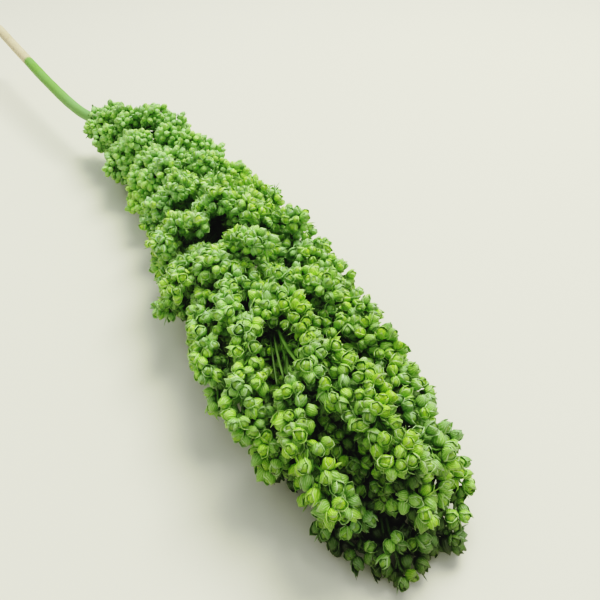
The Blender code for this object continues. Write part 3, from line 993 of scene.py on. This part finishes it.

# Long thin stalks and strap-like bracts show in the central opening.
# each: base, bend and end as column, row and height, then width, flatness and painted brightness, which stands in for
# the shade inside the opening
STRAPS = (
    ((279, 330, 40), (284, 346, 39), (299, 364, 40), 0.62, 0.30, 0.62),
    ((274, 334, 38), (277, 356, 36), (284, 379, 37), 0.40, 0.45, 0.42),
    ((280, 334, 38), (285, 356, 36), (293, 379, 37), 0.66, 0.30, 0.56),
    ((283, 338, 38), (289, 360, 36), (297, 376, 37), 0.44, 0.45, 0.40),
    ((270, 336, 37), (273, 360, 35), (277, 386, 35), 0.34, 0.60, 0.30),
    ((288, 342, 36), (300, 366, 34), (316, 390, 34), 0.36, 0.60, 0.30),
    ((292, 348, 34), (306, 372, 33), (322, 396, 33), 0.34, 0.60, 0.24),
    ((286, 348, 34), (298, 374, 32), (312, 400, 32), 0.36, 0.60, 0.22),
    ((276, 346, 33), (286, 374, 31), (298, 402, 31), 0.36, 0.60, 0.20),
)
for a_, b_, c_, wide, thin, painted_brightness in STRAPS:
    a3, b3, c3 = at_pixel(*a_), at_pixel(*b_), at_pixel(*c_)
    t = np.linspace(0, 1, 9)[:, None]
    path = (1 - t) ** 2 * a3 + 2 * t * (1 - t) * b3 + t ** 2 * c3
    who = int(np.argmin(((centres - b3) ** 2).sum(1)))
    pieces[who].tube(path, wide * (0.75 + 0.5 * np.sin(np.linspace(0.3, 2.6, 9))), 6, float(rng.random()), 1, flat=thin,
                     expo=painted_brightness)

# ----------------------------------------------------------------- materials
def node(nt, kind, **kw):
    n = nt.nodes.new(kind)
    for k, v in kw.items():
        setattr(n, k, v)
    return n


def mix(nt, fac, a, b, mode="MIX"):
    n = node(nt, "ShaderNodeMix", data_type="RGBA", blend_type=mode, clamp_factor=True)
    for sock, v in ((n.inputs[0], fac), (n.inputs[6], a), (n.inputs[7], b)):
        if isinstance(v, (int, float)):
            sock.default_value = v
        elif isinstance(v, tuple):
            sock.default_value = (*v, 1.0)
        else:
            nt.links.new(v, sock)
    return n.outputs[2]


def maths(nt, op, a, b=0.0, c=None, clamp=False):
    n = node(nt, "ShaderNodeMath", operation=op, use_clamp=clamp)
    for k, v in enumerate((a, b) if c is None else (a, b, c)):
        if isinstance(v, (int, float)):
            n.inputs[k].default_value = v
        else:
            nt.links.new(v, n.inputs[k])
    return n.outputs[0]


def ramp(nt, value, lo, hi, a=0.0, b=1.0, smoothly=True):
    n = node(nt, "ShaderNodeMapRange", interpolation_type="SMOOTHSTEP" if smoothly else "LINEAR", clamp=True)
    nt.links.new(value, n.inputs[0])
    for k, v in zip((1, 2, 3, 4), (lo, hi, a, b)):
        n.inputs[k].default_value = v
    return n.outputs[0]


def noise(nt, vector, scale, detail=2.0, rough=0.5, kind="noise"):
    n = node(nt, "ShaderNodeTexNoise")
    n.inputs["Scale"].default_value = scale
    n.inputs["Detail"].default_value = detail
    n.inputs["Roughness"].default_value = rough
    if vector is not None:
        nt.links.new(vector, n.inputs["Vector"])
    return n.outputs["Fac"]


def new_material(name):
    mat = bpy.data.materials.new(name)
    mat.use_nodes = True
    nt = mat.node_tree
    return mat, nt, nt.nodes["Principled BSDF"]


def srgb(r, g, b):
    f = lambda c: (c / 255 / 12.92) if c <= 10 else ((c / 255 + 0.055) / 1.055) ** 2.4
    return (f(r), f(g), f(b))


def seed_material():
    mat, nt, bsdf = new_material("husked_seeds")
    tone = node(nt, "ShaderNodeAttribute", attribute_name="tone")
    grain = node(nt, "ShaderNodeAttribute", attribute_name="grain")
    sep = node(nt, "ShaderNodeSeparateColor")
    nt.links.new(tone.outputs["Color"], sep.inputs[0])
    edge_, body_, rnd_ = sep.outputs
    open_ = tone.outputs["Alpha"]
    place = node(nt, "ShaderNodeTexCoord").outputs["Object"]
    g = node(nt, "ShaderNodeSeparateXYZ")
    nt.links.new(grain.outputs["Vector"], g.inputs[0])
    along = g.outputs[2]
    around = maths(nt, "ARCTAN2", g.outputs[1], g.outputs[0])
    fine = noise(nt, place, 1500.0, 2.0, 0.6)
    # three painted husk leaves over the round body, each a pointed arch
    third = maths(nt, "ADD", maths(nt, "MULTIPLY", around, 3 / (2 * math.pi)), maths(nt, "MULTIPLY", rnd_, 3.0))
    across = maths(nt, "ABSOLUTE", maths(nt, "SUBTRACT", maths(nt, "FRACT", maths(nt, "ADD", third, 6.0)), 0.5))
    arch = ramp(nt, along, 0.46, 0.98, 0.56, 0.03)
    rim = maths(nt, "SUBTRACT", across, maths(nt, "ADD", arch, maths(nt, "MULTIPLY", maths(nt, "SUBTRACT", fine, 0.5), 0.05)))
    leaf = maths(nt, "MULTIPLY", ramp(nt, rim, 0.01, -0.03), body_)
    line = maths(nt, "MULTIPLY", ramp(nt, maths(nt, "ABSOLUTE", rim), 0.055, 0.01), body_)
    # painted shadow: a dark band just outside the rim of each painted husk leaf
    rim_shadow = maths(nt, "MULTIPLY", maths(nt, "MULTIPLY", ramp(nt, rim, 0.14, 0.05), ramp(nt, rim, 0.0, 0.04)), body_)
    husk_k = maths(nt, "MAXIMUM", leaf, maths(nt, "SUBTRACT", 1.0, body_))
    # broad shift of colour over the head: cooler near the stalk, yellower at the tip
    xyz = node(nt, "ShaderNodeSeparateXYZ")
    nt.links.new(place, xyz.inputs[0])
    far_ = ramp(nt, xyz.outputs[0], -0.06, 0.24)
    patch = noise(nt, place, 38.0, 2.0)
    warm = maths(nt, "ADD", maths(nt, "MULTIPLY", far_, 0.58),
                 maths(nt, "MULTIPLY", maths(nt, "SUBTRACT", patch, 0.5), 1.2), clamp=True)
    warm = maths(nt, "ADD", warm, maths(nt, "MULTIPLY", maths(nt, "SUBTRACT", rnd_, 0.5), 0.6), clamp=True)
    husk = mix(nt, warm, srgb(136, 189, 98), srgb(130, 186, 28))
    heart = mix(nt, warm, srgb(148, 198, 78), srgb(150, 198, 24))
    body = mix(nt, husk_k, heart, husk)
    # lengthwise pale veins on the husks; their paleness is partly a painted sheen
    wave = maths(nt, "SINE", maths(nt, "MULTIPLY", around, 17.0))
    vein = maths(nt, "ADD", maths(nt, "MULTIPLY", wave, 0.50), maths(nt, "MULTIPLY", maths(nt, "SUBTRACT", fine, 0.5), 1.7))
    vein_k = maths(nt, "MULTIPLY", ramp(nt, vein, -0.15, 0.75, 0.0, 0.62), maths(nt, "ADD", 0.3, maths(nt, "MULTIPLY", husk_k, 0.7)))
    veined = mix(nt, vein_k, body, mix(nt, warm, srgb(206, 234, 188), srgb(202, 226, 112)))
    # per-seed strength of the dye, and painted light: brighter from the middle of the head towards the stalk, and a
    # little darker again right at the head's base
    dye_and_painted_light = maths(nt, "MULTIPLY", ramp(nt, rnd_, 0.0, 1.0, 0.78, 1.20, False), ramp(nt, xyz.outputs[0], 0.12, 0.28, 1.38, 1.02))
    dye_and_painted_light = maths(nt, "MULTIPLY", dye_and_painted_light, ramp(nt, xyz.outputs[0], -0.03, 0.05, 0.88, 1.0))
    mul = node(nt, "ShaderNodeVectorMath", operation="SCALE")
    nt.links.new(veined, mul.inputs[0])
    nt.links.new(dye_and_painted_light, mul.inputs["Scale"])
    most = node(nt, "ShaderNodeVectorMath", operation="MINIMUM")
    nt.links.new(mul.outputs[0], most.inputs[0])
    most.inputs[1].default_value = (0.80, 0.84, 0.80)
    # the painted shadow along the husk rims
    shaded = mix(nt, maths(nt, "MULTIPLY", rim_shadow, 0.40), most.outputs[0], srgb(46, 74, 16))
    # thin pale margins; their whiteness is partly a painted highlight
    edge_k = ramp(nt, edge_, 0.66, 1.0)
    pale_k = maths(nt, "MULTIPLY", maths(nt, "MAXIMUM", edge_k, maths(nt, "MULTIPLY", line, 0.55)),
                   maths(nt, "ADD", 0.45, maths(nt, "MULTIPLY", fine, 0.65)), clamp=True)
    # they show in some places and fade in others
    pale_k = maths(nt, "MULTIPLY", pale_k, ramp(nt, noise(nt, place, 430.0, 1.0), 0.40, 0.60, 0.45, 1.0))
    pale = mix(nt, warm, srgb(206, 238, 184), srgb(220, 240, 174))
    col = mix(nt, pale_k, shaded, pale)
    # painted shade: the hollow at the top of an open husk is darkened
    col = mix(nt, ramp(nt, edge_, 0.45, 0.12), col, srgb(34, 58, 12))
    # a few dry, straw or pinkish specks
    speck = noise(nt, place, 520.0, 1.0)
    speck_k = maths(nt, "MULTIPLY", ramp(nt, speck, 0.70, 0.78), ramp(nt, edge_, 0.6, 0.9))
    col = mix(nt, maths(nt, "MULTIPLY", speck_k, 0.55), col, srgb(206, 186, 156))
    # painted shade: the less open sky a seed sees, the darker its colour
    # the painted shade is lifted towards the stalk end of the head
    near_ = ramp(nt, xyz.outputs[0], 0.06, 0.23, 0.26, 0.0)
    deep = ramp(nt, maths(nt, "ADD", open_, near_), 0.08, 0.63, 0.0, 1.0)
    # painted shade too: each seed, husk leaf and spikelet darker towards its base
    deep = maths(nt, "MULTIPLY", deep, ramp(nt, along, 0.0, 0.45, 0.55, 1.0))
    nt.links.new(mix(nt, deep, (0.016, 0.018, 0.007), col), bsdf.inputs["Base Color"])
    rough = maths(nt, "ADD", 0.30, maths(nt, "MULTIPLY", fine, 0.28))
    nt.links.new(rough, bsdf.inputs["Roughness"])
    bsdf.inputs["Specular IOR Level"].default_value = 0.62
    height = maths(nt, "ADD", maths(nt, "MULTIPLY", vein, 0.5), maths(nt, "MULTIPLY", leaf, 0.8))
    bump = node(nt, "ShaderNodeBump")
    bump.inputs["Strength"].default_value = 0.65
    bump.inputs["Distance"].default_value = 0.00025
    nt.links.new(height, bump.inputs["Height"])
    nt.links.new(bump.outputs[0], bsdf.inputs["Normal"])
    return mat


def twig_material():
    mat, nt, bsdf = new_material("twigs")
    tone = node(nt, "ShaderNodeAttribute", attribute_name="tone")
    sep = node(nt, "ShaderNodeSeparateColor")
    nt.links.new(tone.outputs["Color"], sep.inputs[0])
    place = node(nt, "ShaderNodeTexCoord").outputs["Object"]
    stretch = node(nt, "ShaderNodeMapping")
    stretch.inputs["Scale"].default_value = (0.25, 1.0, 1.0)
    nt.links.new(place, stretch.inputs[0])
    n1 = noise(nt, stretch.outputs[0], 900.0, 3.0)
    col = mix(nt, n1, srgb(84, 128, 48), srgb(138, 176, 88))
    col = mix(nt, sep.outputs[2], col, srgb(112, 160, 62))
    # painted shade: darker the deeper they are
    col = mix(nt, ramp(nt, tone.outputs["Alpha"], 0.10, 0.62, 0.12, 1.0), (0.016, 0.022, 0.008), col)
    nt.links.new(col, bsdf.inputs["Base Color"])
    nt.links.new(maths(nt, "ADD", 0.42, maths(nt, "MULTIPLY", n1, 0.25)), bsdf.inputs["Roughness"])
    bump = node(nt, "ShaderNodeBump")
    bump.inputs["Strength"].default_value = 0.3
    bump.inputs["Distance"].default_value = 0.0002
    nt.links.new(n1, bump.inputs["Height"])
    nt.links.new(bump.outputs[0], bsdf.inputs["Normal"])
    return mat


seeds = seed_material()
twigs = twig_material()
total = 0
for b, piece in enumerate(pieces):
    name = f"branch_{b + 1:02d}_seeds"
    me = piece.mesh(name)
    me.materials.append(seeds)
    me.materials.append(twigs)
    ob = bpy.data.objects.new(name, me)
    bpy.context.scene.collection.objects.link(ob)
    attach(ob, "root")
    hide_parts(f"seed_branch_{b + 1:02d}")
    total += piece.triangles
print("triangles in the branches:", total)


# ------------------------------------------------------------------ the stalk
def stalk():
    """The cut stalk: shallow ribs run along it, and its end is cut square."""
    sides, p = 36, Part()
    xs = np.concatenate((np.linspace(-STALK_LENGTH, 0, 72), np.linspace(0, RACHIS_END, 60)[1:]))
    path = np.array([rachis_point(x) for x in xs])
    tan = unit(np.gradient(path, axis=0))
    e1 = unit(np.cross(tan, (0, 0, 1.0)))
    e2 = np.cross(tan, e1)
    rings, attr = [], []
    local = np.random.default_rng(5)
    rib = local.uniform(-1, 1, sides)
    for i, x in enumerate(xs):
        r = rachis_radius(x) * (1 + 0.012 * math.sin(x * 0.11) + 0.008 * math.sin(x * 0.37))
        for k in range(sides):
            f = 2 * math.pi * k / sides
            g = 1 + 0.022 * rib[k] + 0.012 * math.sin(5 * f + x * 0.01) - 0.035 * max(0, math.cos(f - 0.6)) ** 8
            rings.append(path[i] + (e1[i] * math.cos(f) + e2[i] * math.sin(f)) * r * g)
            attr.append((0, 0, f, x / 1000))
    # the cut face: a rim, a fibrous ring and a slightly sunken pith
    rows = len(xs)
    first = np.array(rings[:sides])
    mid0 = path[0]
    faces_in = []
    for k_r, inn in ((0.985, -0.12), (0.80, -0.10), (0.62, 0.25), (0.30, 0.35)):
        faces_in.append(mid0 + (first - mid0) * k_r + tan[0] * inn)
    allr = faces_in[::-1] + [np.array(rings).reshape(rows, sides, 3)[i] for i in range(rows)]
    allr = np.array(allr)
    at = []
    for k_r in (0.30, 0.62, 0.80, 0.985):
        at += [(1.0 - k_r * 0.5, 1.0, 0.0, -STALK_LENGTH / 1000) for k in range(sides)]
    at += attr
    at += [(1, 1, 0, -STALK_LENGTH / 1000), (0, 0, 0, RACHIS_END / 1000)]
    lathe(p, allr, sides, mid0 + tan[0] * 0.38, path[-1] + tan[-1] * 0.6, at)
    return p.done()


def stalk_material():
    mat, nt, bsdf = new_material("stalk")
    grain = node(nt, "ShaderNodeAttribute", attribute_name="grain")
    tone = node(nt, "ShaderNodeAttribute", attribute_name="tone")
    sep = node(nt, "ShaderNodeSeparateColor")
    nt.links.new(tone.outputs["Color"], sep.inputs[0])
    gx = node(nt, "ShaderNodeSeparateXYZ")
    nt.links.new(grain.outputs["Vector"], gx.inputs[0])
    place = node(nt, "ShaderNodeTexCoord").outputs["Object"]
    stretch = node(nt, "ShaderNodeMapping")
    stretch.inputs["Scale"].default_value = (0.045, 1.0, 1.0)
    nt.links.new(place, stretch.inputs[0])
    fibre = noise(nt, stretch.outputs[0], 2600.0, 3.0, 0.6)
    blotch = noise(nt, place, 60.0, 3.0)
    # the dye ends in a fairly sharp, uneven line
    wobble = maths(nt, "MULTIPLY", maths(nt, "SUBTRACT", fibre, 0.5), 0.012)
    line = maths(nt, "ADD", gx.outputs[2], maths(nt, "ADD", wobble, maths(nt, "MULTIPLY", maths(nt, "SUBTRACT", blotch, 0.5), 0.006)))
    dyed = ramp(nt, line, -0.1285, -0.1225)
    straw = mix(nt, fibre, srgb(196, 182, 130), srgb(228, 216, 176))
    straw = mix(nt, ramp(nt, blotch, 0.45, 0.75, 0.0, 0.4), straw, srgb(176, 158, 104))
    green = mix(nt, fibre, srgb(92, 150, 44), srgb(140, 190, 84))
    green = mix(nt, ramp(nt, blotch, 0.4, 0.75, 0.0, 0.5), green, srgb(122, 172, 92))
    green = mix(nt, ramp(nt, gx.outputs[2], -0.09, 0.0, 0.0, 0.45), green, srgb(128, 168, 108))
    col = mix(nt, dyed, straw, green)
    pith = mix(nt, noise(nt, place, 1500.0, 3.0), srgb(206, 192, 150), srgb(236, 228, 198))
    col = mix(nt, ramp(nt, sep.outputs[1], 0.3, 0.9), col, pith)
    # inside the head its shade is painted too
    col = mix(nt, ramp(nt, gx.outputs[2], 0.020, 0.060, 0.0, 0.88), col, (0.012, 0.020, 0.006))
    nt.links.new(col, bsdf.inputs["Base Color"])
    nt.links.new(maths(nt, "ADD", 0.34, maths(nt, "MULTIPLY", fibre, 0.25)), bsdf.inputs["Roughness"])
    bump = node(nt, "ShaderNodeBump")
    bump.inputs["Strength"].default_value = 0.5
    bump.inputs["Distance"].default_value = 0.0003
    nt.links.new(fibre, bump.inputs["Height"])
    nt.links.new(bump.outputs[0], bsdf.inputs["Normal"])
    return mat


sp = Piece()
part = stalk()
sp.instances(part, np.zeros((1, 3)), np.eye(3)[None], np.ones((1, 3)), np.zeros((1, 3)), np.ones(1), 0)
me = sp.mesh("cut_stalk")
me.materials.append(stalk_material())
stem = bpy.data.objects.new("cut_stalk", me)
bpy.context.scene.collection.objects.link(stem)
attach(stem, "root")
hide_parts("stem")
total += sp.triangles
print("triangles in all:", total)


# ------------------------------------------------------- floor, light and sky
def floor_material():
    mat, nt, bsdf = new_material("pale_table")
    place = node(nt, "ShaderNodeTexCoord").outputs["Object"]
    n1 = noise(nt, place, 1.6, 2.0)
    n2 = noise(nt, place, 420.0, 2.0)
    col = mix(nt, n1, (0.735, 0.735, 0.560), (0.765, 0.765, 0.595))
    nt.links.new(col, bsdf.inputs["Base Color"])
    nt.links.new(maths(nt, "ADD", 0.50, maths(nt, "MULTIPLY", n2, 0.12)), bsdf.inputs["Roughness"])
    bsdf.inputs["Specular IOR Level"].default_value = 0.25
    return mat


bpy.ops.mesh.primitive_plane_add(size=9.0, location=(0, 0, 0))
floor = bpy.context.object
floor.name = "table_top"
floor.data.materials.append(floor_material())


def area(name, place, aim, size, power, colour=(1, 1, 1)):
    lamp = bpy.data.lights.new(name, "AREA")
    lamp.shape = "DISK"
    lamp.size = size
    lamp.energy = power
    lamp.color = colour
    ob = bpy.data.objects.new(name, lamp)
    bpy.context.scene.collection.objects.link(ob)
    ob.location = place
    ob.rotation_euler = (Vector(aim) - Vector(place)).to_track_quat("-Z", "Y").to_euler()
    return ob


aim = (0.10, 0.0, 0.02)
area("key", (-0.15, 0.62, 1.40), aim, 1.0, 15.0, (1.0, 0.985, 0.955))
world = bpy.data.worlds.new("soft_room")
bpy.context.scene.world = world
world.use_nodes = True
wt = world.node_tree
sky = node(wt, "ShaderNodeSeparateXYZ")
wt.links.new(node(wt, "ShaderNodeTexCoord").outputs["Generated"], sky.inputs[0])
wt.links.new(mix(wt, ramp(wt, sky.outputs[2], 0.0, 0.85), (0.16, 0.165, 0.17), (0.62, 0.625, 0.63)),
             wt.nodes["Background"].inputs["Color"])
wt.nodes["Background"].inputs["Strength"].default_value = 0.95

# a camera's usual response: firm middle tones and soft whites
view = bpy.context.scene.view_settings
view.view_transform = "Standard"
view.use_curve_mapping = True
curve = view.curve_mapping.curves[3]
response = ((0.0, 0.003), (0.012, 0.007), (0.04, 0.038), (0.09, 0.129), (0.18, 0.290), (0.30, 0.462),
            (0.46, 0.636), (0.65, 0.745), (0.80, 0.805), (1.0, 0.90))
while len(curve.points) > 2:
    curve.points.remove(curve.points[1])
curve.points[0].location = response[0]
curve.points[-1].location = response[-1]
for x, y in response[1:-1]:
    curve.points.new(x, y)
# the greens hold little blue except in their highlights
blues = ((0.0, 0.0), (0.02, 0.018), (0.05, 0.047), (0.10, 0.101), (0.17, 0.184), (0.30, 0.316), (0.55, 0.552), (1.0, 1.0))
curve = view.curve_mapping.curves[2]
while len(curve.points) > 2:
    curve.points.remove(curve.points[1])
curve.points[0].location = blues[0]
curve.points[-1].location = blues[-1]
for x, y in blues[1:-1]:
    curve.points.new(x, y)
view.curve_mapping.update()
